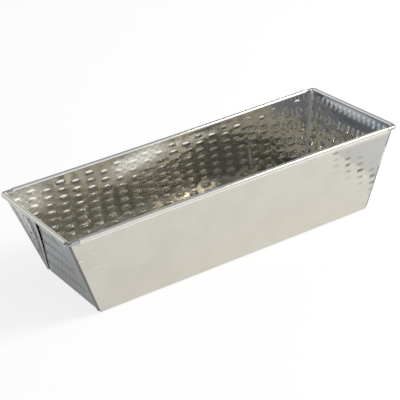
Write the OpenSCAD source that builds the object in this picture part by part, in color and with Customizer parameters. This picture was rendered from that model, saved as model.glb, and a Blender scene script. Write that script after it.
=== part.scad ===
// Folded tinplate loaf pan: one sheet blank folded up along the floor edges, its spare corner
// metal laid double on the outside of the end walls, and its top edge rolled round a wire ring.
// X runs along the pan and Y across it. The origin is the middle of the underside.

/* [Opening] */
// Length of the opening between the end walls, beside the rim
opening_length = 292; // [200:1:380]
// Width of the opening between the long walls, beside the rim
opening_width = 107; // [80:1:160]

/* [Base] */
// Length of the underside, between the outer faces of the end walls
base_length = 249; // [170:1:290]
// Width of the underside, between the outer faces of the long walls
base_width = 85; // [60:1:105]
// Height from the underside to the top of the rim
height = 73; // [50:1:110]

/* [Sheet] */
// Thickness of the tinplate
sheet = 0.5; // [0.4:0.05:0.8]
// Outer radius of the bends between the floor and the walls
floor_bend_radius = 2; // [1.25:0.25:4]
// Space left between two layers at a closed fold
fold_gap = 0.1; // [0.05:0.05:0.3]
// Open slit between the folded edge of an end wall and the long wall beside it
corner_slit = 0.2; // [0.1:0.05:0.5]

/* [Corner gussets] */
// Distance by which the front left crease springs off its wall, at its top
front_left_spring = 0.5; // [0:0.1:3]
// Distance by which the back left crease springs off its wall, at its top
back_left_spring = 2; // [0:0.1:3]
// Distance by which the front right crease springs off its wall, at its top
front_right_spring = 0.8; // [0:0.1:3]
// Distance by which the back right crease springs off its wall, at its top
back_right_spring = 0.6; // [0:0.1:3]

/* [Rim] */
// Diameter of the wire inside the rolled edge
wire_diameter = 3; // [2:0.1:4]
// Radial clearance between the wire and the sheet rolled round it
wire_clearance = 0.05; // [0.02:0.01:0.2]
// Angle over which the sheet wraps the wire
roll_angle = 295; // [220:5:310]
// Radius of the wire's centre line where it turns a corner
wire_corner_radius = 2.5; // [2:0.25:6]
// Bare wire between a corner bend and the end of the roll on a long wall
long_roll_gap = 6; // [1:0.5:12]
// Bare wire between a corner bend and the end of the roll on an end wall
end_roll_gap = 0.5; // [0.25:0.25:5]
// Clearance under the roll, down to the cut edge of the gussets
gusset_clearance = 0.3; // [0.2:0.1:1]
// Height of the long walls' unrolled edge above the wire's centre, at the corners
bare_edge_rise = 1.2; // [0:0.1:1.5]
// Width of the snip between the unrolled edge and the end of the roll
snip = 0.3; // [0.2:0.1:1]

/* [Hidden] */
$fn = 48;

// Sizes of the roll and the height at which the gussets are cut off below it
roll_inner = wire_diameter / 2 + wire_clearance;
roll_outer = roll_inner + sheet;
wire_z = height - roll_outer;
edge_z = wire_z - roll_outer - gusset_clearance;

// Lean of a wall from the outer face of its foot to the inner face of its top
function lean(foot, top) = atan((top + sheet - foot) / wire_z);
long_lean = lean(base_width / 2, opening_width / 2);
end_lean = lean(base_length / 2, opening_length / 2);

// Distance up the slope of a wall to the point beside the wire's centre
function slope_to_wire(tilt) = (wire_z + roll_inner * sin(tilt)) / cos(tilt);

// Distance from the pan's middle to the wire's centre line, to the nearest hundredth
function wire_reach(foot, tilt) =
    round(100 * (foot + slope_to_wire(tilt) * sin(tilt) + roll_inner * cos(tilt))) / 100;
wire_x = wire_reach(base_length / 2, end_lean);
wire_y = wire_reach(base_width / 2, long_lean);
wire_straight_x = wire_x - wire_corner_radius;
wire_straight_y = wire_y - wire_corner_radius;

// Sideways travel of a corner edge for each millimetre up the slope of each wall
long_edge_run = tan(end_lean) * cos(long_lean);
end_edge_run = tan(long_lean) * cos(end_lean);
end_edge_tilt = atan(end_edge_run);

// The blank has this much more angle at a corner than the folded corner takes up. Half of it
// goes into each of the two layers of a gusset.
gusset_angle = (90 - atan(long_edge_run) - end_edge_tilt) / 2;
crease_lean = gusset_angle - end_edge_tilt;

// Where the gussets start, above the floor bend, and where they are cut off
gusset_foot = floor_bend_radius * (1 - sin(end_lean)) / cos(end_lean);
gusset_top = edge_z / cos(end_lean);

// Depth to which the strip that becomes the roll is drawn down over the wall under it
overlap = 1.5;
// Radius of a closed fold. Its surface lies a hair inside the faces that it joins.
hair = 0.02;
fold_radius = sheet + fold_gap / 2 - hair;
// Distance in from the corner edge to the axis of the fold on the edge of an end wall
edge_fold_inset = 2 * sheet + corner_slit + fold_gap / 2;
// Height above an end wall of the fold from a long wall into the outer gusset layer
outer_layer_height = 2 * fold_gap + sheet;

// One wall's own axes: X along it, Y up its slope, Z out of its outer face
module at_wall(turn, foot, tilt) {
    rotate([0, 0, turn]) translate([0, -foot, 0]) rotate([90 + tilt, 0, 0]) children();
}
module at_long_wall(turn) { at_wall(turn, base_width / 2, long_lean) children(); }
module at_end_wall(turn) { at_wall(turn, base_length / 2, end_lean) children(); }

// Cross-section between two opposite walls, every face set back by inset, up to top
module section(foot, tilt, inset, top) {
    bend_x = foot - floor_bend_radius * (1 - sin(tilt)) / cos(tilt);
    radius = floor_bend_radius - inset;
    wall_x = bend_x + radius * cos(tilt);
    wall_z = floor_bend_radius - radius * sin(tilt);
    top_x = wall_x + (top - wall_z) * tan(tilt);
    polygon([[bend_x, inset], [wall_x, wall_z], [top_x, top],
             [-top_x, top], [-wall_x, wall_z], [-bend_x, inset]]);
    for (side = [-1, 1])
        translate([side * bend_x, floor_bend_radius]) circle(radius);
}

// The pan as a solid block, every face set back by inset
module block(inset, top) {
    intersection() {
        rotate([90, 0, 90]) linear_extrude(2 * opening_length, center = true)
            section(base_width / 2, long_lean, inset, top);
        rotate([90, 0, 0]) linear_extrude(2 * opening_length, center = true)
            section(base_length / 2, end_lean, inset, top);
    }
}

// Floor and four walls, open at the top
module tub() {
    difference() {
        block(0, edge_z);
        block(sheet, edge_z + sheet);
    }
}

// Strip along the right edge of a long wall, from one distance off the corner edge to another
module corner_strip(from, to, low, high) {
    foot_x = base_length / 2 + long_edge_run * gusset_foot;
    top_y = edge_z / cos(long_lean);
    top_x = base_length / 2 + long_edge_run * top_y;
    translate([0, 0, low]) linear_extrude(high - low)
        polygon([[foot_x + from, gusset_foot], [foot_x + to, gusset_foot],
                 [top_x + to, top_y], [top_x + from, top_y]]);
}

// Both ends of both long walls: local +X is the right end of the front wall
module at_corner_edges() {
    for (turn = [0, 180]) at_long_wall(turn) {
        children();
        mirror([1, 0, 0]) children();
    }
}

// A point on a line parallel to the right corner edge of an end wall, inset from it
function edge_point(inset, y) =
    [base_width / 2 - inset / cos(end_edge_tilt) + end_edge_run * y, y];

// Closed fold between two points of a wall, its axis at the given height above the wall
module fold(start, end, axis_z, radius) {
    run = end - start;
    translate([start.x, start.y, axis_z]) rotate([0, 0, atan2(run.y, run.x)])
        rotate([0, 90, 0]) cylinder(r = radius, h = norm(run));
}

// The double triangle at the right-hand corner of an end wall, seen from outside
module gusset(spring) {
    foot = edge_point(edge_fold_inset, gusset_foot);
    top = edge_point(edge_fold_inset, gusset_top);
    crease_run = (gusset_top - gusset_foot) * tan(crease_lean);
    crease_top = [foot.x - crease_run, gusset_top];
    crease_reach = norm(crease_top - foot) * sin(gusset_angle);
    outer_foot = edge_point(sheet, gusset_foot);
    outer_top = edge_point(sheet, gusset_top);

    fold(foot, top, fold_gap / 2, fold_radius);
    fold(outer_foot, outer_top, outer_layer_height, sheet - hair);
    translate([foot.x, foot.y, fold_gap / 2])
        rotate([0, 0, -end_edge_tilt]) rotate([0, asin(spring / crease_reach), 0])
        rotate([0, 0, end_edge_tilt]) translate([-foot.x, -foot.y, -fold_gap / 2]) {
            translate([0, 0, fold_gap]) linear_extrude(sheet)
                polygon([foot, top, crease_top]);
            translate([0, 0, outer_layer_height]) linear_extrude(sheet)
                polygon([foot, outer_foot, outer_top, crease_top]);
            fold(foot, crease_top, sheet + 1.5 * fold_gap, fold_radius);
        }
}

// Edge of the sheet rolled round the wire: X points out of the wall, Y up its slope
module roll_section(tilt) {
    slope = slope_to_wire(tilt);
    strip_foot = edge_z / cos(tilt) - overlap;
    open = 360 - roll_angle;
    reach = 2 * roll_outer;
    translate([-sheet, strip_foot]) square([sheet, slope - strip_foot]);
    translate([roll_inner, slope]) difference() {
        circle(roll_outer);
        circle(roll_inner);
        polygon([[0, 0], [-reach, 0], reach * [cos(180 + open / 2), sin(180 + open / 2)],
                 reach * [cos(180 + open), sin(180 + open)]]);
    }
}

module roll(tilt, half_length) {
    rotate([0, -90, 0]) linear_extrude(2 * half_length, center = true) roll_section(tilt);
}

// The closed ring that runs round the rim
module wire_ring(radius) {
    translate([0, 0, wire_z]) {
        for (side = [-1, 1]) {
            translate([0, side * wire_y, 0]) rotate([0, 90, 0])
                cylinder(r = radius, h = 2 * wire_straight_x, center = true);
            translate([side * wire_x, 0, 0]) rotate([90, 0, 0])
                cylinder(r = radius, h = 2 * wire_straight_y, center = true);
        }
        for (corner = [[1, 1, 0], [-1, 1, 90], [-1, -1, 180], [1, -1, 270]])
            translate([corner.x * wire_straight_x, corner.y * wire_straight_y, 0])
                rotate([0, 0, corner.z]) rotate_extrude(angle = 90)
                translate([wire_corner_radius, 0]) circle(radius);
    }
}

// Right end of a long wall's top edge, which stands unrolled behind the bare wire
module bare_edge() {
    roll_end = wire_straight_x - long_roll_gap;
    foot = edge_z / cos(long_lean) - overlap;
    slope = slope_to_wire(long_lean);
    top = slope + bare_edge_rise;
    corner_x = base_length / 2 + long_edge_run * foot;
    corner_run = long_edge_run * (top - foot);
    translate([0, 0, -sheet]) linear_extrude(sheet)
        polygon([[roll_end - overlap, foot], [corner_x, foot], [corner_x + corner_run, top],
                 [roll_end + snip, top], [roll_end + snip, slope - snip],
                 [roll_end - overlap, slope - snip]]);
}

module folded_body() {
    color([0.80, 0.79, 0.76]) {
        difference() {
            tub();
            at_corner_edges() corner_strip(-4 * sheet, 4 * sheet, -edge_fold_inset, -sheet);
        }
        at_corner_edges()
            corner_strip(-2 * sheet, outer_layer_height / cos(end_lean), -sheet, 0);
        at_end_wall(-90) {
            gusset(front_left_spring);
            mirror([1, 0, 0]) gusset(back_left_spring);
        }
        at_end_wall(90) {
            gusset(back_right_spring);
            mirror([1, 0, 0]) gusset(front_right_spring);
        }
        difference() {
            at_corner_edges() bare_edge();
            wire_ring(wire_diameter / 2 + wire_clearance / 2);
        }
        for (turn = [0, 180]) {
            at_long_wall(turn) roll(long_lean, wire_straight_x - long_roll_gap);
            at_end_wall(turn + 90) roll(end_lean, wire_straight_y - end_roll_gap);
        }
    }
}

module rim_wire() {
    color([0.72, 0.72, 0.71]) wire_ring(wire_diameter / 2);
}

folded_body();
rim_wire();
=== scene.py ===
import bpy
import bmesh
import math
import numpy as np
from mathutils import Matrix, Vector


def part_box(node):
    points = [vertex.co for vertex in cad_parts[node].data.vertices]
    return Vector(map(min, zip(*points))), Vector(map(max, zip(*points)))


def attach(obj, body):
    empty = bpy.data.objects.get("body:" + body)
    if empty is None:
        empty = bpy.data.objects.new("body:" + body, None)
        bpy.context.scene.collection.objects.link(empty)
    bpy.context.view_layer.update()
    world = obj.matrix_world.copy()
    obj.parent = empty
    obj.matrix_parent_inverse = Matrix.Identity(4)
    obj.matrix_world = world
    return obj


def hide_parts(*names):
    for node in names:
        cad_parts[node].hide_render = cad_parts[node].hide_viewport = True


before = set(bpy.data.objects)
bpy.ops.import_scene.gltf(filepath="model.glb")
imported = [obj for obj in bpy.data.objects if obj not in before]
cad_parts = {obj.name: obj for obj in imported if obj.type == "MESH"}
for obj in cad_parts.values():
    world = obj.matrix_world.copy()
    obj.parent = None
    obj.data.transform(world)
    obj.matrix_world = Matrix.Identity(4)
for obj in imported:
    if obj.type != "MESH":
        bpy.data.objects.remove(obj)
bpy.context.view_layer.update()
print("frame loaded:", sorted(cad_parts))

# the folded blank, in metres; the rim's size and height come from the frame
blank = {
    "thickness": 0.0005,
    "baseLength": 0.249,
    "baseWidth": 0.085,
    "floorBend": 0.002,        # outer radius
    "cornerFold": 0.0008,      # middle radius of the fold from a long wall into its gusset
    "foldGap": 0.0001,
    "cornerSlit": 0.0002,
    "gussetGap": 0.0003,       # between the roll and the cut edge of a gusset
    "rollGap": 0.00005,        # between wire and sheet
    "rollAngle": 295,
    "rollCrest": (186, 240),   # the part of the roll given a painted highlight, in degrees round it
    "wireCorner": 0.0025,      # radius of the wire's centre line at a corner
    "longRollGap": 0.006,      # from the end of a long roll to the wire's corner
    "endRollGap": 0.0005,
    "bareRise": 0.0012,        # how far the sheet stands over the wire's middle where it isn't rolled
}

# how finely the sheet is divided, in metres or in steps
detail = {
    "along": 0.0013,
    "across": 0.00065,
    "underRoll": 0.0008,
    "bareEdge": 0.0003,
    "bendRows": 6,
    "rollRows": 22,
    "cornerSteps": 4,
    "gussetSteps": 30,
    "creaseSteps": 8,
    "hingeSteps": 5,
}

wireLow, wireHigh = [Vector(c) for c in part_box("rim_wire")]
wireRadius = (wireHigh.z - wireLow.z) / 2
wireZ = (wireHigh.z + wireLow.z) / 2
wireX = wireHigh.x - wireRadius
wireY = wireHigh.y - wireRadius
sheet = blank["thickness"]
rollInner = wireRadius + blank["rollGap"]
rollMiddle = rollInner + sheet / 2
bendMiddle = blank["floorBend"] - sheet / 2
edgeZ = wireZ - rollInner - sheet - blank["gussetGap"]


class Wall:
    # middle surface of one pair of walls: distance out from the pan's middle, by height
    def __init__(self, foot, wireOut):
        reach = math.hypot(wireOut - foot, wireZ)
        self.lean = math.acos(rollInner / reach) - math.atan2(wireZ, wireOut - foot)
        self.sin, self.cos = math.sin(self.lean), math.cos(self.lean)
        self.foot, self.wireOut = foot, wireOut
        self.bendX = foot - blank["floorBend"] * (1 - self.sin) / self.cos
        self.bendTop = blank["floorBend"] - bendMiddle * self.sin
        self.bendLength = bendMiddle * (math.pi / 2 - self.lean)
        self.thick = sheet / self.cos  # along the level
        self.topZ = wireZ + rollMiddle * self.sin

    def face(self, z):
        return self.foot + z * math.tan(self.lean)

    def out(self, z):
        if z < self.bendTop:
            return self.bendX + math.sqrt(max(bendMiddle**2 - (blank["floorBend"] - z) ** 2, 0))
        return self.face(z) - self.thick / 2

    def normal(self, z):
        if z < self.bendTop:
            drop = (blank["floorBend"] - z) / bendMiddle
            return math.sqrt(max(1 - drop * drop, 0)), -drop
        return self.cos, -self.sin

    def travel(self, z):
        # length of sheet from the start of the floor bend
        if z < self.bendTop:
            return bendMiddle * math.acos(min((blank["floorBend"] - z) / bendMiddle, 1))
        return self.bendLength + (z - self.bendTop) / self.cos


longWall = Wall(blank["baseWidth"] / 2, wireY)
endWall = Wall(blank["baseLength"] / 2, wireX)
rollHalf = {
    "long": wireX - blank["wireCorner"] - blank["longRollGap"],
    "end": wireY - blank["wireCorner"] - blank["endRollGap"],
}
longEdgeTilt = math.atan(math.tan(endWall.lean) * longWall.cos)
endEdgeTilt = math.atan(math.tan(longWall.lean) * endWall.cos)
gussetAngle = (math.pi / 2 - longEdgeTilt - endEdgeTilt) / 2
creaseLean = gussetAngle - endEdgeTilt
gussetFoot = max(longWall.bendTop, endWall.bendTop)
foldMiddle = (sheet + blank["foldGap"]) / 2  # middle radius of a closed fold
print("walls lean", round(math.degrees(longWall.lean), 2), round(math.degrees(endWall.lean), 2))


def ramp(value, start, length):
    # 0 up to start, and 1 from a length after it
    return np.clip((value - start) / length, 0, 1)


# the pressed pattern: short ridges in staggered columns, raised as seen from inside
dimple = {
    "pitchAlong": 0.01276,
    "pitchAcross": 0.00626,
    "shiftAlong": 0.0020,
    "shiftAcross": 0.0021,
    "halfLength": 0.0035,
    "halfWidth": 0.0016,
    "depths": ((-0.135, 0.0007), (-0.118, 0.0005), (-0.09, 0.0005), (-0.03, 0.00028),
               (0.025, 0.00028), (0.075, 0.00018), (0.11, 0.00018), (0.135, 0.00045)),  # along the blank
    "unlike": 0.22,            # share by which the depth differs from one to the next
    "struckHard": {"at": (0.108, -0.088), "half": (0.020, 0.011), "extra": 0.0003},
    "clearOfFloor": 0.0025,
    "clearOfRoll": 0.0022,
    "fade": 0.002,             # over which the pattern comes in
    "gussetFade": 0.003,
    "tight": 0.0003,           # a gusset with less spring than this has its pattern flattened
}


def dimpleHeight(u, v):
    # how far the sheet is pressed inward at a place on the flat blank
    along, across = dimple["pitchAlong"], dimple["pitchAcross"]
    column = np.round((u - dimple["shiftAlong"]) / along)
    du = u - dimple["shiftAlong"] - column * along
    offset = dimple["shiftAcross"] + np.mod(column, 2) * across / 2
    row = np.round((v - offset) / across)
    dv = v - offset - row * across
    straight = dimple["halfLength"] - dimple["halfWidth"]
    reach = np.hypot(np.maximum(np.abs(du) - straight, 0), dv) / dimple["halfWidth"]
    depth = np.interp(u, *zip(*dimple["depths"]))
    hard = dimple["struckHard"]
    (hardU, hardV), (halfU, halfV) = hard["at"], hard["half"]
    depth = depth + hard["extra"] * np.exp(-((u - hardU) / halfU) ** 4 - ((v - hardV) / halfV) ** 4)
    depth = depth * (1 + dimple["unlike"] * np.sin(12.9 * column + 78.2 * row))
    return depth * np.where(reach < 1, (1 - reach**2) ** 2, 0)


class Sheet:
    # patches of the middle surface, joined where their edges meet
    def __init__(self):
        self.keys, self.rows, self.faces = {}, [], []

    def point(self, place, offset, u, v, press):
        key = tuple(round(c * 1e6) for c in place)
        if key not in self.keys:
            self.keys[key] = len(self.rows)
            self.rows.append((*place, *offset, u, v, press))
        return self.keys[key]

    def patch(self, grid):
        ids = [[self.point(*p) for p in row] for row in grid]
        for low, high in zip(ids, ids[1:]):
            for a, b, c, d in zip(low, low[1:], high[1:], high):
                corners = list(dict.fromkeys((a, b, c, d)))
                if len(corners) > 2:
                    self.faces.append(corners)


def spaced(low, high, step):
    count = max(1, round(abs(high - low) / step))
    return [low + (high - low) * i / count for i in range(count + 1)]


def mirrored(half):
    # shares of a half length, from its middle, made into shares of the whole
    return [-f for f in reversed(half[1:])] + half


def hingeY(z):
    # level distance from the pan's middle to the axis of the fold on an end wall's edge
    inset = 2 * longWall.thick + blank["cornerSlit"] + blank["foldGap"] / 2
    return longWall.face(z) - inset / math.cos(endEdgeTilt)


def longEnd(z):
    # where a long wall's middle surface starts to turn into its gusset
    outer = endWall.face(z) + 2 * blank["foldGap"] + 1.5 * endWall.thick
    return outer - blank["cornerFold"]


def cornerPoint(z, sx, sy):
    # the shared corner of the two floor bends; its offset suits both walls' normals
    nl, nlz = longWall.normal(z)
    ne, nez = endWall.normal(z)
    rows = np.array([[0, nl, nlz], [ne, 0, nez], np.cross([0, nl, nlz], [ne, 0, nez])])
    m = np.linalg.lstsq(rows, np.array([1, 1, 0]), rcond=None)[0]
    place = (sx * endWall.out(z), sy * longWall.out(z), z)
    u = sx * (endWall.bendX + endWall.travel(z))
    v = sy * (longWall.bendX + longWall.travel(z))
    return place, (sx * m[0], sy * m[1], m[2]), u, v, 0.0


# codes for folds, kept in place of a point's share of the pressed pattern, which is 0 there
foldCode = {"hinge": -1, "crease": -2, "corner": -3, "bead": -4}

# how use has bent the pan; the keys of an end or a corner are its sides along x and y
bent = {
    "rimBow": 0.0017,          # how far a long rim leans in at mid-length
    "rimBowPower": 1.6,        # how the bow grows with height
    "endHollow": {-1: 0.0028, 1: 0.0016},  # how far an end wall is pressed in at its middle
    "hollowHeight": 0.57,      # where it is deepest, as a share of the wire's height
    "springs": {(-1, -1): 0.0007, (-1, 1): 0.0018, (1, -1): 0.0009, (1, 1): 0.0008},
    "springAtCrease": (0.5, 0.8),  # share of a gusset's spring for its inner and outer layer there
    "ridge": {"at": 0.8, "height": 1.35, "power": 2.4, "drop": 0.55},  # across a sprung gusset
    "waveHeight": 0.00012,
    "straightMiddle": 0.03,    # the bow fades out over this distance from the pan's middle line
}


def gussetLift(share):
    # how a sprung gusset stands off its wall: rising to a ridge, then dropping to the crease
    ridge = bent["ridge"]
    if share < ridge["at"]:
        return ridge["height"] * (share / ridge["at"]) ** ridge["power"]
    return ridge["height"] - ridge["drop"] * (share - ridge["at"]) / (1 - ridge["at"])


def cornerPath(z, sx, sy):
    # one level line from the long wall, round both gusset layers, to the end wall
    nE = np.array([endWall.cos, 0, -endWall.sin])
    nL = np.array([0, longWall.cos, -longWall.sin])
    yHat = np.array([0, 1.0, 0])
    hinge = hingeY(z)
    crease = hingeY(gussetFoot) - (z - gussetFoot) / endWall.cos * math.tan(creaseLean)
    spring = bent["springs"][(sx, sy)] * (z - gussetFoot) / (edgeZ - gussetFoot)
    innerRise, outerRise = [share * spring for share in bent["springAtCrease"]]
    face, gap, thick = endWall.face(z), blank["foldGap"], endWall.thick
    fold = blank["cornerFold"]
    edge = longWall.out(z)
    edgeLength = (z - gussetFoot) / (longWall.cos * math.cos(longEdgeTilt))
    startU = endWall.out(gussetFoot)
    startV = longWall.bendX + longWall.travel(gussetFoot)
    points = []

    def add(x, y, offset, u=0.0, v=0.0, press=0.0):
        place = (sx * x, sy * y, z)
        turned = (sx * offset[0], sy * offset[1], offset[2])
        points.append((place, turned, sx * u, sy * v, press))

    def onBlank(y):
        aside = (edge - y) * math.cos(endEdgeTilt)
        ahead = edgeLength - (edge - y) * math.sin(endEdgeTilt)
        u = startU + ahead * math.sin(longEdgeTilt) + aside * math.cos(longEdgeTilt)
        v = startV + ahead * math.cos(longEdgeTilt) - aside * math.sin(longEdgeTilt)
        return u, v

    # round the corner from the long wall
    outer = face + 2 * gap + 1.5 * thick
    steps = detail["cornerSteps"]
    for i in range(steps + 1):
        a = math.pi / 2 * i / steps
        n = nL * math.cos(a) + nE * math.sin(a)
        add(outer - fold + fold * math.sin(a), edge - fold + fold * math.cos(a), n,
            press=foldCode["corner"])
    # across the outer layer, whose pattern fades out at its edges and where it lies tight
    start = edge - fold
    for i in range(1, detail["gussetSteps"] + 1):
        y = start + (crease - start) * i / detail["gussetSteps"]
        lift = spring * gussetLift((start - y) / (start - crease))
        fade = min(1, min(abs(y - crease), abs(y - start)) / dimple["gussetFade"], lift / dimple["tight"])
        add(outer + lift, y, nE, *onBlank(y), fade)
    # back round the crease
    radius = foldMiddle + (outerRise - innerRise) / 2
    middle = face + 1.5 * gap + thick + (outerRise + innerRise) / 2
    steps = detail["creaseSteps"]
    for i in range(1, steps):
        a = math.pi * i / steps
        n = nE * math.cos(a) - yHat * math.sin(a)
        add(middle + radius * n[0], crease + radius * n[1], n, press=foldCode["crease"])
    # across the inner layer and round the hinge to the end wall
    inner = face + gap + thick / 2
    steps = detail["cornerSteps"]
    for i in range(steps + 1):
        add(inner + innerRise * (1 - i / steps), crease + (hinge - crease) * i / steps, -nE)
    steps = detail["hingeSteps"]
    for i in range(1, steps):
        a = math.pi * i / steps
        n = -nE * math.cos(a) - yHat * math.sin(a)
        add(face + gap / 2 - foldMiddle * n[0], hinge - foldMiddle * n[1], n, press=foldCode["hinge"])
    return points


def pressAt(z, wall):
    # the pattern stops at the floor bend and under the roll
    return float(ramp(z, dimple["clearOfFloor"], dimple["fade"])
                 * ramp(wall.topZ - dimple["clearOfRoll"] - z, 0, dimple["fade"]))


def longRow(z, sy, shares, endX, press=None):
    n, nz = longWall.normal(z)
    grade = pressAt(z, longWall) if press is None else press
    v = sy * (longWall.bendX + longWall.travel(z))
    return [((f * endX, sy * longWall.out(z), z), (0, sy * n, nz), f * endX, v,
             foldCode["corner"] if abs(f) == 1 else grade) for f in shares]


def endRow(z, sx, shares, endY, press=None):
    n, nz = endWall.normal(z)
    grade = pressAt(z, endWall) if press is None else press
    u = sx * (endWall.bendX + endWall.travel(z))
    return [((sx * endWall.out(z), f * endY, z), (sx * n, 0, nz), u, f * endY,
             foldCode["hinge"] if abs(f) == 1 else grade) for f in shares]


def rollRow(wall, angle, places, along, side):
    # one line of the rolled edge, at an angle round the wire from where the wall meets it
    a = math.pi - wall.lean - angle
    out = wall.wireOut + rollMiddle * math.cos(a)
    z = wireZ + rollMiddle * math.sin(a)
    n = (-math.cos(a), -math.sin(a))
    low, high = blank["rollCrest"]
    press = foldCode["bead"] if low < math.degrees(angle) < high else 0.0
    flat = side * (wall.bendX + wall.travel(wall.topZ) + rollMiddle * angle)
    if along == "x":
        return [((p, side * out, z), (0, side * n[0], n[1]), p, flat, press) for p in places]
    return [((side * out, p, z), (side * n[0], 0, n[1]), flat, p, press) for p in places]


def makeBlank():
    flatX, flatY = endWall.bendX, longWall.bendX
    body = Sheet()

    # shares of a wall's half length, with a column exactly at the end of the roll
    longMark = rollHalf["long"] / longEnd(longWall.topZ)
    longStep = detail["along"] / wireX
    longHalf = spaced(0, longMark, longStep) + spaced(longMark, 1, longStep)[1:]
    longShares = mirrored(longHalf)
    endMark = rollHalf["end"] / hingeY(endWall.topZ)
    endShares = mirrored(spaced(0, endMark, detail["across"] / flatY) + [1])

    down = (0, 0, -1)
    body.patch([[((f * flatX, g * flatY, sheet / 2), down, f * flatX, g * flatY, 1.0)
                 for f in longShares] for g in endShares])

    bendAngle = math.acos((blank["floorBend"] - gussetFoot) / bendMiddle)
    bendRows = [blank["floorBend"] - bendMiddle * math.cos(a)
                for a in np.linspace(0, bendAngle, detail["bendRows"])]
    wallRows = spaced(gussetFoot, edgeZ, detail["across"] * longWall.cos)
    turns = np.radians(np.linspace(0, blank["rollAngle"], detail["rollRows"]))
    for sy in (-1, 1):
        low = [longRow(z, sy, longShares, endWall.out(z), 0.0) for z in bendRows]
        for row, z in zip(low, bendRows):
            row[0], row[-1] = cornerPoint(z, -1, sy), cornerPoint(z, 1, sy)
        body.patch(low + [longRow(z, sy, longShares, longEnd(z)) for z in wallRows[1:]])
        body.patch([longRow(z, sy, longShares, longEnd(z))
                    for z in spaced(edgeZ, longWall.topZ, detail["underRoll"])])
        xs = [f * longEnd(longWall.topZ) for f in longShares if abs(f) < longMark + 1e-9]
        body.patch([rollRow(longWall, a, xs, "x", sy) for a in turns])
        for sx in (-1, 1):
            shares = [sx * f for f in longHalf if f > longMark - 1e-9]
            heights = spaced(longWall.topZ, wireZ + blank["bareRise"], detail["bareEdge"])
            body.patch([longRow(z, sy, shares, longEnd(z), 0.0) for z in heights])
    for sx in (-1, 1):
        low = [endRow(z, sx, endShares, longWall.out(z), 0.0) for z in bendRows]
        for row, z in zip(low, bendRows):
            row[0], row[-1] = cornerPoint(z, sx, -1), cornerPoint(z, sx, 1)
        body.patch(low + [endRow(z, sx, endShares, hingeY(z)) for z in wallRows[1:]])
        body.patch([endRow(z, sx, endShares, hingeY(z))
                    for z in spaced(edgeZ, endWall.topZ, detail["underRoll"])])
        ys = [f * hingeY(endWall.topZ) for f in endShares if abs(f) < endMark + 1e-9]
        body.patch([rollRow(endWall, a, ys, "y", sx) for a in turns])
        for sy in (-1, 1):
            paths = [longRow(z, sy, [sx], longEnd(z)) + cornerPath(z, sx, sy)[1:]
                     + endRow(z, sx, [sy], hingeY(z)) for z in wallRows[1:]]
            foot = [cornerPoint(gussetFoot, sx, sy)] * len(paths[0])
            body.patch([foot] + paths)
    return body


# soft hollows and swellings left by handling: middle on the wall, half sizes, height inward
handling = {
    "back swell": (0.0, 1, 0.047, 0.11, 0.022, 0.00045),
    "front swell": (0.0, -1, 0.047, 0.11, 0.022, 0.00045),
    "back upper left": (-0.040, 1, 0.046, 0.030, 0.013, 0.0005),
    "back upper right": (0.085, 1, 0.052, 0.035, 0.018, 0.00035),
    "front upper right": (0.118, -1, 0.050, 0.026, 0.016, 0.0006),
    "front lower left": (-0.075, -1, 0.025, 0.050, 0.020, 0.0002),
}

# waves and dents fade in above the floor and below the wire's middle: start and length of each fade
fades = {
    "waves": {"floor": (0.004, 0.02), "rim": (0.003, 0.01)},
    "dents": {"floor": (0.003, 0.01), "rim": (0.002, 0.006)},
}


def waves(x, y, z):
    # slow unevenness of thin sheet
    return (np.sin(31 * x + 9 * z + 0.6) * np.sin(47 * z + 22 * y + 1.1)
            + 0.6 * np.sin(58 * x - 40 * y + 2.0) * np.cos(70 * z + 13 * x))


def handled(x, y, z):
    # height of the soft dents, towards the inside
    total = np.zeros(len(x))
    for middleX, side, middleZ, halfX, halfZ, height in handling.values():
        shape = np.exp(-((x - middleX) / halfX) ** 2 - ((z - middleZ) / halfZ) ** 2)
        total += height * shape * (np.sign(y) == side) * (np.abs(y) > longWall.bendX)
    return total


def settle(points):
    # the long rims lean in a little at mid-length, and the end walls are pressed in below theirs
    x, y, z = points.T
    lift = np.maximum(z / wireZ, 0) ** bent["rimBowPower"]
    bow = bent["rimBow"] * lift * np.maximum(0, 1 - (x / wireX) ** 2)
    half = longWall.foot + z * math.tan(longWall.lean)
    hollow = np.where(x < 0, bent["endHollow"][-1], bent["endHollow"][1])
    hollow = hollow * np.maximum(0, 1 - (y / half) ** 2)
    deepest = bent["hollowHeight"] * wireZ
    hollow *= np.where(z < deepest, np.sin(np.pi / 2 * z / deepest),
                       1 - ramp(z, deepest, wireZ - deepest) ** 4)
    onEnd = np.abs(x) > endWall.bendX - 0.001
    bow *= np.minimum(1, np.abs(y) / bent["straightMiddle"])
    return np.column_stack([x - np.sign(x) * hollow * onEnd, y - np.sign(y) * bow, z])


# painted light and shade on the sheet: places are along x and up z, shares run from 0 to 1
paintedLightMarks = {
    "fromFloor": 0.004,
    # a painted dark reflection over one upper corner of the front
    "darkReflectionCorner": {"at": (0.118, 0.0385), "slope": 0.92, "ragged": 0.0016, "fade": 0.004, "top": 0.0662,
                   "topFade": 0.0015},
    # painted shade in the dimples along that painted reflection's edge
    "dimpleShade": {"from": 0.08, "fade": 0.01, "shift": 0.0006, "rise": (0.00007, 0.00014),
                     "reach": 0.011},
    # painted shade in the dimples outside the left end
    "leftEndShade": {"share": 0.7, "full": 0.0005},
    # painted shade in a fan of streaks on the left end's back gusset
    "gussetShadeStreaks": {"share": 0.7, "swing": 0.3, "turns": 17},
    # painted highlight along both sides of each corner seam inside
    "seamHighlight": {"onEnd": 0.0012, "onLong": 0.0016, "beyond": 0.001},
    # painted pale reflections on the back wall: middle, half sizes, slope, share
    "paleReflections": {
        "upper left": (-0.130, 0.061, 0.017, 0.011, 0.0, 0.6),
        "under the rim": (-0.030, 0.0635, 0.026, 0.0068, 0.12, 0.95),
    },
}


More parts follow.
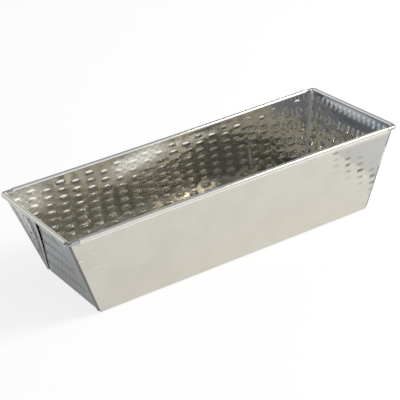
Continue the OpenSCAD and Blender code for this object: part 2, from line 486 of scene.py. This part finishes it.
class SheetPoints:
    # what is known at every point of the middle surface
    def __init__(self, rows):
        self.place, self.offset, self.flat = rows[:, :3], rows[:, 3:6], rows[:, 6:8]
        self.x, self.y, self.z = self.place.T
        self.press = np.maximum(rows[:, 8], 0)
        self.folds = {name: rows[:, 8] == code for name, code in foldCode.items()}
        self.unit = self.offset / np.linalg.norm(self.offset, axis=1)[:, None]
        self.dent = dimpleHeight(*self.flat.T) * self.press
        # how far out of the end wall's outer face
        self.past = np.abs(self.x) - endWall.foot - self.z * math.tan(endWall.lean)
        self.onEnd = (np.abs(self.unit[:, 0]) > 0.9) & (self.z > paintedLightMarks["fromFloor"])
        self.onLong = (np.abs(self.unit[:, 1]) > 0.9) & (self.z > paintedLightMarks["fromFloor"])
        self.onFront = self.y < -longWall.bendX

    def shaped(self):
        # the middle surface once it is pressed, waved and dented
        def share(kind):
            return ramp(self.z, *fades[kind]["floor"]) * ramp(wireZ - self.z, *fades[kind]["rim"])

        slow = bent["waveHeight"] * waves(self.x, self.y, self.z) * share("waves")
        soft = handled(self.x, self.y, self.z) * share("dents") * (np.abs(self.unit[:, 1]) > 0.9)
        return self.place + self.unit * (slow - self.dent - soft)[:, None]

    def overDarkReflectionLine(self):
        # height above the ragged line under which the front's upper corner has no painted dark reflection
        look = paintedLightMarks["darkReflectionCorner"]
        atX, atZ = look["at"]
        ragged = look["ragged"] * np.sin(self.x * 500) * np.sin(self.z * 700)
        return (self.z - atZ) + look["slope"] * (self.x - atX) + ragged

    def darkReflection(self):
        # a painted dark reflection over one upper corner of the front
        look = paintedLightMarks["darkReflectionCorner"]
        return (ramp(self.overDarkReflectionLine(), 0, look["fade"]) * self.onFront
                * ramp(look["top"] - self.z, 0, look["topFade"]))

    def paintedShade(self):
        # painted shade in the dimples along the painted dark reflection's edge, on their upper side
        look = paintedLightMarks["dimpleShade"]
        shifted = dimpleHeight(self.flat[:, 0], self.flat[:, 1] - look["shift"])
        paintedShadeShare = ramp(shifted, *look["rise"]) * np.exp(-(self.overDarkReflectionLine() / look["reach"]) ** 2)
        paintedShadeShare *= self.onFront * ramp(self.x, look["from"], look["fade"]) * (self.press > 0.5)
        # painted shade in those outside the left end, and on its back gusset in a fan of streaks
        left = self.onEnd * (self.x < 0)
        look = paintedLightMarks["leftEndShade"]
        paintedShadeShare += look["share"] * ramp(self.dent, 0, look["full"]) * left * (self.past < 0)
        look = paintedLightMarks["gussetShadeStreaks"]
        fan = np.arctan2(np.abs(self.y) - longWall.foot, self.z) / gussetAngle
        streaks = look["share"] + look["swing"] * np.sin(look["turns"] * fan)
        return paintedShadeShare + streaks * left * (self.past > endWall.thick) * (self.y > 0)

    def paintedHighlightsInside(self):
        # painted highlights on both sides of each corner seam, and painted pale reflections on the back
        # wall
        look = paintedLightMarks["seamHighlight"]
        hingeLine = np.interp(self.z, (0, wireZ), (hingeY(0), hingeY(wireZ)))
        total = self.onEnd * (self.past < 0) * (np.abs(self.y) > hingeLine - look["onEnd"])
        total = total + self.onLong * (self.past > -look["onLong"]) * (self.past < look["beyond"])
        fleck = 0.75 + 0.25 * np.sin(self.x * 900) * np.sin(self.z * 1300)
        for atX, atZ, halfX, halfZ, slope, share in paintedLightMarks["paleReflections"].values():
            x = self.x - atX
            shape = np.exp(-(x / halfX) ** 4 - ((self.z - atZ - slope * x) / halfZ) ** 4)
            total = total + share * shape * fleck * self.onLong * (self.y > 0)
        return total


def thickMesh(name, faces, outer, inner):
    # both faces of the sheet, and its cut edge between them
    count = len(outer)
    openEdges = {}
    for f in faces:
        for a, b in zip(f, f[1:] + f[:1]):
            if (b, a) in openEdges:
                del openEdges[(b, a)]
            else:
                openEdges[(a, b)] = True
    quads = [list(f) for f in faces]
    quads += [[i + count for i in reversed(f)] for f in faces]
    quads += [[b, a, a + count, b + count] for a, b in openEdges]
    mesh = bpy.data.meshes.new(name)
    mesh.from_pydata(np.vstack([outer, inner]).tolist(), [], quads)
    bm = bmesh.new()
    bm.from_mesh(mesh)
    bmesh.ops.recalc_face_normals(bm, faces=bm.faces)
    bm.to_mesh(mesh)
    bm.free()
    mesh.shade_smooth()
    mesh.set_sharp_from_angle(angle=math.radians(50))
    return mesh


def addValues(mesh, name, values):
    kind, field = ("FLOAT_VECTOR", "vector") if values.ndim == 2 else ("FLOAT", "value")
    mesh.attributes.new(name, kind, "POINT").data.foreach_set(field, values.ravel())


def bodyMesh():
    body = makeBlank()
    print("middle surface:", len(body.rows), "points,", len(body.faces), "faces")
    at = SheetPoints(np.array(body.rows))
    middle, half = at.shaped(), at.offset * sheet / 2
    mesh = thickMesh("tinBody", body.faces, settle(middle + half), settle(middle - half))
    # painted highlights on the folds and the bead, also on the inside of the long walls' corners, and
    # painted shade on their outside
    folds = at.folds
    bright = (folds["hinge"] | folds["crease"]).astype(float) + folds["bead"]
    outside = bright - folds["corner"] - at.paintedShade()
    inside = np.minimum(1, bright + folds["corner"] + at.paintedHighlightsInside())
    addValues(mesh, "highlightAndShade", np.hstack([outside, inside]))
    # the painted dark reflection goes on the outer face only
    darkReflection = at.darkReflection()
    addValues(mesh, "paintedDarkReflection", np.hstack([darkReflection, 0 * darkReflection]))
    apart = 0.01  # between the two faces, in the noise
    addValues(mesh, "flatBlank", np.vstack([np.column_stack([at.flat, np.full(len(darkReflection), depth)])
                                            for depth in (0, apart)]))
    return mesh


wireForm = {"sides": 20, "cornerSteps": 8, "step": 0.004}


def wireMesh():
    corner = blank["wireCorner"]
    x, y = wireX - corner, wireY - corner
    path, ahead = [], []
    for sx, sy, turn, nextStart in ((1, 1, 0, (-x, wireY)), (-1, 1, 90, (-wireX, -y)),
                                    (-1, -1, 180, (x, -wireY)), (1, -1, 270, (wireX, y))):
        for i in range(wireForm["cornerSteps"] + 1):
            a = math.radians(turn + 90 * i / wireForm["cornerSteps"])
            path.append((sx * x + corner * math.cos(a), sy * y + corner * math.sin(a)))
            ahead.append((math.cos(a), math.sin(a)))
        last = path[-1]
        for t in spaced(0, 1, wireForm["step"] / math.dist(last, nextStart))[1:-1]:
            path.append((last[0] + (nextStart[0] - last[0]) * t, last[1] + (nextStart[1] - last[1]) * t))
            ahead.append(ahead[-1])
    sides = wireForm["sides"]
    verts, around, faces = [], [], []
    for i, ((px, py), (ox, oy)) in enumerate(zip(path, ahead)):
        for k in range(sides):
            a = 2 * math.pi * k / sides
            r = wireRadius * math.cos(a)
            verts.append((px + ox * r, py + oy * r, wireZ + wireRadius * math.sin(a)))
            # along the ring, round its section, and clear of the sheet in the noise
            around.append((i * wireForm["step"], wireRadius * a, 0.02))
            here, following = i * sides, (i + 1) % len(path) * sides
            beside = (k + 1) % sides
            faces.append((here + k, following + k, following + beside, here + beside))
    mesh = bpy.data.meshes.new("rimWire")
    mesh.from_pydata(settle(np.array(verts)).tolist(), [], faces)
    mesh.shade_smooth()
    addValues(mesh, "flatBlank", np.array(around))
    return mesh


def addPiece(name, mesh, material, node):
    piece = bpy.data.objects.new(name, mesh)
    bpy.context.scene.collection.objects.link(piece)
    mesh.materials.append(material)
    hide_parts(node)
    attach(piece, "root")
    return piece


# clouds of dulled metal, hair scratches and fine grain, shared by sheet and wire; the edges are
# the noise values between which a mark comes in
marksLook = {
    "cloudDetail": 4,
    "cloudEdges": (0.4, 0.66),
    "scratchTurns": (0.25, -0.6, 1.45),
    "scratchStretch": 0.03,
    "scratchDetail": 1,
    "scratchEdges": (0.66, 0.78),
    "grainScale": 1400,
    "grainDetail": 2,
}


def makeHandlingMarks():
    group = bpy.data.node_groups.new("handlingMarks", "ShaderNodeTree")
    socket = group.interface.new_socket
    socket("Vector", in_out="INPUT", socket_type="NodeSocketVector")
    for name, value in (("Cloud Scale", 40), ("Scratch Scale", 700), ("Scratch Cover", 0.3)):
        socket(name, in_out="INPUT", socket_type="NodeSocketFloat").default_value = value
    for name in ("Cloud", "Scratch", "Height"):
        socket(name, in_out="OUTPUT", socket_type="NodeSocketFloat")
    nodes, links = group.nodes, group.links
    given, made = nodes.new("NodeGroupInput"), nodes.new("NodeGroupOutput")

    def noise(scale, detail, vector):
        node = nodes.new("ShaderNodeTexNoise")
        node.inputs["Detail"].default_value = detail
        links.new(vector, node.inputs["Vector"])
        if isinstance(scale, (int, float)):
            node.inputs["Scale"].default_value = scale
        else:
            links.new(scale, node.inputs["Scale"])
        return node.outputs["Fac"]

    def band(value, low, high):
        node = nodes.new("ShaderNodeMapRange")
        node.interpolation_type = "SMOOTHSTEP"
        node.inputs["From Min"].default_value = low
        node.inputs["From Max"].default_value = high
        links.new(value, node.inputs["Value"])
        return node.outputs["Result"]

    def combined(operation, first, second):
        node = nodes.new("ShaderNodeMath")
        node.operation = operation
        links.new(first, node.inputs[0])
        links.new(second, node.inputs[1])
        return node.outputs[0]

    cloud = noise(given.outputs["Cloud Scale"], marksLook["cloudDetail"], given.outputs["Vector"])
    links.new(band(cloud, *marksLook["cloudEdges"]), made.inputs["Cloud"])
    strongest = None
    for turn in marksLook["scratchTurns"]:
        # scratches are noise drawn out along one direction
        mapping = nodes.new("ShaderNodeMapping")
        mapping.inputs["Rotation"].default_value = (0, 0, turn)
        mapping.inputs["Scale"].default_value = (marksLook["scratchStretch"], 1, 1)
        links.new(given.outputs["Vector"], mapping.inputs["Vector"])
        line = noise(given.outputs["Scratch Scale"], marksLook["scratchDetail"], mapping.outputs["Vector"])
        line = band(line, *marksLook["scratchEdges"])
        strongest = combined("MAXIMUM", strongest, line) if strongest else line
    scratch = combined("MULTIPLY", strongest, given.outputs["Scratch Cover"])
    links.new(scratch, made.inputs["Scratch"])
    grain = noise(marksLook["grainScale"], marksLook["grainDetail"], given.outputs["Vector"])
    links.new(combined("SUBTRACT", grain, scratch), made.inputs["Height"])
    return group


def metal(name, look, marks):
    material = bpy.data.materials.new(name)
    material.use_nodes = True
    nodes, links = material.node_tree.nodes, material.node_tree.links
    shader = nodes["Principled BSDF"]

    def attribute(name, output):
        node = nodes.new("ShaderNodeAttribute")
        node.attribute_name = name
        return node.outputs[output]

    group = nodes.new("ShaderNodeGroup")
    group.node_tree = marks
    links.new(attribute("flatBlank", "Vector"), group.inputs["Vector"])
    for socket in ("Cloud Scale", "Scratch Scale", "Scratch Cover"):
        group.inputs[socket].default_value = look[socket]
    highlightAndShade = attribute("highlightAndShade", "Fac")

    def blend(factor, low, high, kind="RGBA"):
        node = nodes.new("ShaderNodeMix")
        node.data_type = kind
        first, second, result = {"RGBA": (6, 7, 2), "FLOAT": (2, 3, 0)}[kind]  # its sockets of that kind
        links.new(factor, node.inputs[0])
        for socket, value in ((first, low), (second, high)):
            if isinstance(value, bpy.types.NodeSocket):
                links.new(value, node.inputs[socket])
            else:
                node.inputs[socket].default_value = value
        return node.outputs[result]

    def towards(full):
        # share of the painted highlight and shade value that lies on one side of 0
        node = nodes.new("ShaderNodeMapRange")
        node.inputs["From Max"].default_value = full
        links.new(highlightAndShade, node.inputs["Value"])
        return node.outputs["Result"]

    bright, paintedShade = towards(1), towards(-1)
    color = blend(group.outputs["Cloud"], (*look["color"], 1), (*look["dulled"], 1))
    color = blend(group.outputs["Scratch"], color, (*look["scratched"], 1))
    # painted highlight, painted dark reflection and painted shade, in that order, over the base colour
    color = blend(bright, color, (*look["edge"], 1))
    color = blend(attribute("paintedDarkReflection", "Fac"), color, (*look["paintedDarkReflection"], 1))
    links.new(blend(paintedShade, color, (*look["paintedShade"], 1)), shader.inputs["Base Color"])
    rough = blend(group.outputs["Cloud"], *look["roughness"], "FLOAT")
    rough = blend(group.outputs["Scratch"], rough, look["scratchRoughness"], "FLOAT")
    links.new(blend(bright, rough, look["edgeRoughness"], "FLOAT"), shader.inputs["Roughness"])
    links.new(blend(bright, 1.0, look["edgeMetal"], "FLOAT"), shader.inputs["Metallic"])
    bump = nodes.new("ShaderNodeBump")
    bump.inputs["Strength"].default_value = look["bump"]
    bump.inputs["Distance"].default_value = look["grainHeight"]
    links.new(group.outputs["Height"], bump.inputs["Height"])
    links.new(bump.outputs["Normal"], shader.inputs["Normal"])
    return material


# colours and roughness of each metal where it is clean, dulled and scratched, and where a highlight, shade
# or a dark reflection is painted on
tinplate = {
    "Cloud Scale": 38,
    "Scratch Scale": 900,
    "Scratch Cover": 0.3,
    "color": (0.63, 0.61, 0.551),
    "dulled": (0.603, 0.583, 0.524),
    "scratched": (0.72, 0.71, 0.68),
    # painted highlight on the folds, the bead and the seams
    "edge": (1.0, 0.97, 0.9),
    # painted shade in the corner creases, in dimples and on a gusset
    "paintedShade": (0.21, 0.205, 0.18),
    # painted dark reflection
    "paintedDarkReflection": (0.49, 0.484, 0.46),
    "roughness": (0.055, 0.1),
    "scratchRoughness": 0.22,
    "edgeRoughness": 0.45,
    "edgeMetal": 0.3,
    "bump": 0.08,
    "grainHeight": 0.00002,
}
# the wire is darker than the tin, and its dark colour and clouds also stand in for the shade in the slits
# round the bare wire at the corners
drawnWire = {
    "Cloud Scale": 120,
    "Scratch Scale": 1500,
    "Scratch Cover": 0.6,
    "color": (0.42, 0.41, 0.39),
    "dulled": (0.22, 0.215, 0.205),
    "scratched": (0.7, 0.69, 0.67),
    "edge": (0.8, 0.78, 0.72),
    "paintedShade": (0.2, 0.19, 0.17),
    "paintedDarkReflection": (0.2, 0.2, 0.19),
    "roughness": (0.18, 0.3),
    "scratchRoughness": 0.35,
    "edgeRoughness": 0.4,
    "edgeMetal": 0.8,
    "bump": 0.3,
    "grainHeight": 0.00002,
}
marks = makeHandlingMarks()
tin = metal("tinplate", tinplate, marks)
steel = metal("drawn wire", drawnWire, marks)
pan = addPiece("tinBody", bodyMesh(), tin, "folded_body")
ring = addPiece("rimWire", wireMesh(), steel, "rim_wire")
print("pieces made:", len(pan.data.polygons), "faces in the body,", len(ring.data.polygons),
      "in the wire")

studio = {
    "floor": (0.88, 0.88, 0.88),
    "floorHalf": 6,
    "floorRoughness": 0.9,
    "floorWhite": {"camera": 0.8, "glossy": 0.1},  # how much of the floor is plain white to each
    "camera": {"place": (-0.4995, -0.8645, 0.5293), "azimuth": -29.72, "elevation": 26.29,
               "roll": -5.83, "lens": 125.93},
    "room": (0.50, 0.55, 0.64),
    "darkest": (0.02, 0.02, 0.02),
    # each patch of the room: compass angle from the front towards the right, height, spread, colour
    "patches": {
        "bright front": (32, 18, 36, (0.85, 0.80, 0.72)),
        "window": (50, 38, 14, (1.1, 1.05, 0.88)),
        "overhead": (85, 74, 16, (0.35, 0.33, 0.28)),
        "dark skirting": (29, -1, 9, (-1.2, -1.15, -1.1)),
        "dark doorway": (320, 10, 18, (-0.2, -0.22, -0.22)),
        "dark left wall": (302, 44, 36, (-0.4, -0.42, -0.45)),
        "dark ceiling": (353, 67, 20, (-0.3, -0.3, -0.3)),
        "back wall": (135, 45, 34, (-0.12, -0.14, -0.18)),
        "backdrop right": (145, 2, 20, (0.6, 0.58, 0.52)),
        "backdrop": (200, 26, 28, (0.62, 0.56, 0.44)),
        "dark back left": (224, 1, 10, (-0.3, -0.3, -0.28)),
    },
    # a lamp aimed at the middle of the pan's underside
    "key": {"place": (1.36, -0.72, 1.34), "size": 0.8, "power": 38, "color": (1, 0.95, 0.87)},
}


def addFloor():
    mesh = bpy.data.meshes.new("floor")
    s = studio["floorHalf"]
    mesh.from_pydata([(-s, -s, 0), (s, -s, 0), (s, s, 0), (-s, s, 0)], [], [(0, 1, 2, 3)])
    floor = bpy.data.objects.new("floor", mesh)
    bpy.context.scene.collection.objects.link(floor)
    material = bpy.data.materials.new("floor")
    material.use_nodes = True
    nodes, links = material.node_tree.nodes, material.node_tree.links
    shader = nodes["Principled BSDF"]
    shader.inputs["Base Color"].default_value = (*studio["floor"], 1)
    shader.inputs["Roughness"].default_value = studio["floorRoughness"]
    white = nodes.new("ShaderNodeEmission")
    seen = nodes.new("ShaderNodeLightPath")
    mix = nodes.new("ShaderNodeMixShader")
    total = None
    for ray, share in (("Is Camera Ray", "camera"), ("Is Transmission Ray", "camera"),
                       ("Is Glossy Ray", "glossy")):
        part = nodes.new("ShaderNodeMath")
        part.operation = "MULTIPLY_ADD"
        links.new(seen.outputs[ray], part.inputs[0])
        part.inputs[1].default_value = studio["floorWhite"][share]
        part.inputs[2].default_value = 0
        if total:
            links.new(total, part.inputs[2])
        total = part.outputs[0]
    links.new(total, mix.inputs[0])
    links.new(shader.outputs[0], mix.inputs[1])
    links.new(white.outputs[0], mix.inputs[2])
    links.new(mix.outputs[0], nodes["Material Output"].inputs["Surface"])
    mesh.materials.append(material)


def compass(around, height):
    a, h = math.radians(around), math.radians(height)
    return (math.sin(a) * math.cos(h), -math.cos(a) * math.cos(h), math.sin(h))


def addCamera():
    c = studio["camera"]
    az, el, roll = (math.radians(c[k]) for k in ("azimuth", "elevation", "roll"))
    ahead = Vector((-math.sin(az) * math.cos(el), math.cos(az) * math.cos(el), -math.sin(el)))
    right = Vector((math.cos(az), math.sin(az), 0))
    up = right.cross(ahead)
    right, up = (math.cos(roll) * right + math.sin(roll) * up,
                 math.cos(roll) * up - math.sin(roll) * right)
    camera = bpy.data.objects.new("camera", bpy.data.cameras.new("camera"))
    bpy.context.scene.collection.objects.link(camera)
    camera.data.lens = c["lens"]
    camera.data.sensor_width = 36
    camera.data.clip_end = 20
    turn = Matrix((right, up, -ahead)).transposed().to_4x4()
    camera.matrix_world = Matrix.Translation(c["place"]) @ turn
    bpy.context.scene.camera = camera


def addLamp(name, look):
    lamp = bpy.data.objects.new(name, bpy.data.lights.new(name, "AREA"))
    bpy.context.scene.collection.objects.link(lamp)
    lamp.data.size = look["size"]
    lamp.data.energy = look["power"]
    lamp.data.color = look["color"]
    lamp.location = look["place"]
    lamp.rotation_mode = "QUATERNION"
    lamp.rotation_quaternion = (-Vector(look["place"])).to_track_quat("-Z", "Y")


def addWorld():
    # a room with softly bounded brighter and darker patches
    world = bpy.data.worlds.new("studio")
    bpy.context.scene.world = world
    world.use_nodes = True
    nodes, links = world.node_tree.nodes, world.node_tree.links
    direction = nodes.new("ShaderNodeTexCoord").outputs["Generated"]
    total = nodes.new("ShaderNodeRGB").outputs[0]
    total.default_value = (*studio["room"], 1)
    for name, (around, height, spread, color) in studio["patches"].items():
        dot = nodes.new("ShaderNodeVectorMath")
        dot.operation = "DOT_PRODUCT"
        links.new(direction, dot.inputs[0])
        dot.inputs[1].default_value = compass(around, height)
        soft = nodes.new("ShaderNodeMapRange")
        soft.interpolation_type = "SMOOTHSTEP"
        soft.inputs["From Min"].default_value = math.cos(math.radians(spread))
        links.new(dot.outputs["Value"], soft.inputs["Value"])
        scaled = nodes.new("ShaderNodeVectorMath")
        scaled.operation = "MULTIPLY_ADD"
        scaled.label = name
        links.new(soft.outputs["Result"], scaled.inputs[0])
        scaled.inputs[1].default_value = color
        links.new(total, scaled.inputs[2])
        total = scaled.outputs["Vector"]
    least = nodes.new("ShaderNodeVectorMath")
    least.operation = "MAXIMUM"
    least.inputs[1].default_value = studio["darkest"]
    links.new(total, least.inputs[0])
    links.new(least.outputs["Vector"], nodes["Background"].inputs["Color"])


addFloor()
addCamera()
addWorld()
addLamp("key", studio["key"])
bpy.context.scene.view_settings.view_transform = "Standard"
print("studio set")
